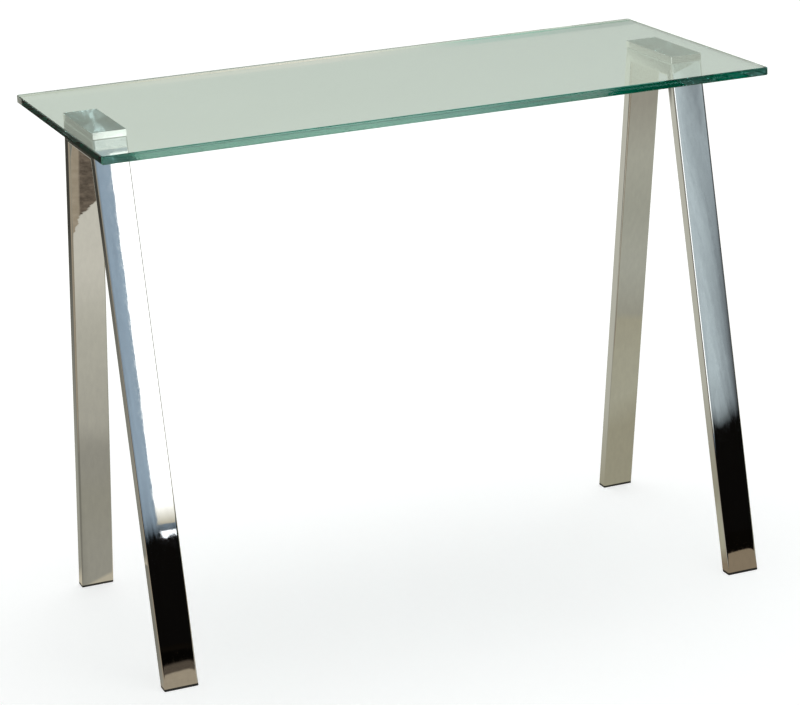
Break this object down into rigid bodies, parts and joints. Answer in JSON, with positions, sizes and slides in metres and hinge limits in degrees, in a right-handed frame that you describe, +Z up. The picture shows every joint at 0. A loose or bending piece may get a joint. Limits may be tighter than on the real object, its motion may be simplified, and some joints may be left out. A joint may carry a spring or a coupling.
{
  "type": "console table",
  "caption": "Narrow console table: a clear plate-glass top with polished green edges on two A-shaped trestles of chromed rectangular tube, bonded by brushed aluminium pads, on black end caps.",
  "frame": {"origin": "on the floor, under the middle of the glass top", "axes": "+X along the table's length to the right, +Y to the back, +Z up"},
  "size_m": [1, 0.46, 0.777],
  "materials": {
    "table_glass": "clear float glass, faintly green, with flat-polished edges",
    "trestle_chrome": "mirror chrome plate on ground and polished steel",
    "pad_aluminium": "satin sides, circular brushed face under the glass",
    "foot_plastic": "black moulded polyethylene",
    "gasket_rubber": "dull grey-black sheet",
    "fastener_steel": "zinc plated",
    "sleeve_steel": "turned steel"
  },
  "bodies": {
    "root": {"glass_top": "table_glass", "left_glass_pad": "pad_aluminium", "left_pad_gasket": "gasket_rubber", "left_crossbar_tube": "trestle_chrome", "left_front_leg_tube": "trestle_chrome", "left_rear_leg_tube": "trestle_chrome", "left_front_foot_cap": "foot_plastic", "left_rear_foot_cap": "foot_plastic", "left_crossbar_sleeves": "sleeve_steel", "left_pad_washers": "fastener_steel", "left_pad_bolts": "fastener_steel", "right_glass_pad": "pad_aluminium", "right_pad_gasket": "gasket_rubber", "right_crossbar_tube": "trestle_chrome", "right_front_leg_tube": "trestle_chrome", "right_rear_leg_tube": "trestle_chrome", "right_front_foot_cap": "foot_plastic", "right_rear_foot_cap": "foot_plastic", "right_crossbar_sleeves": "sleeve_steel", "right_pad_washers": "fastener_steel", "right_pad_bolts": "fastener_steel"}
  },
  "joints": []
}
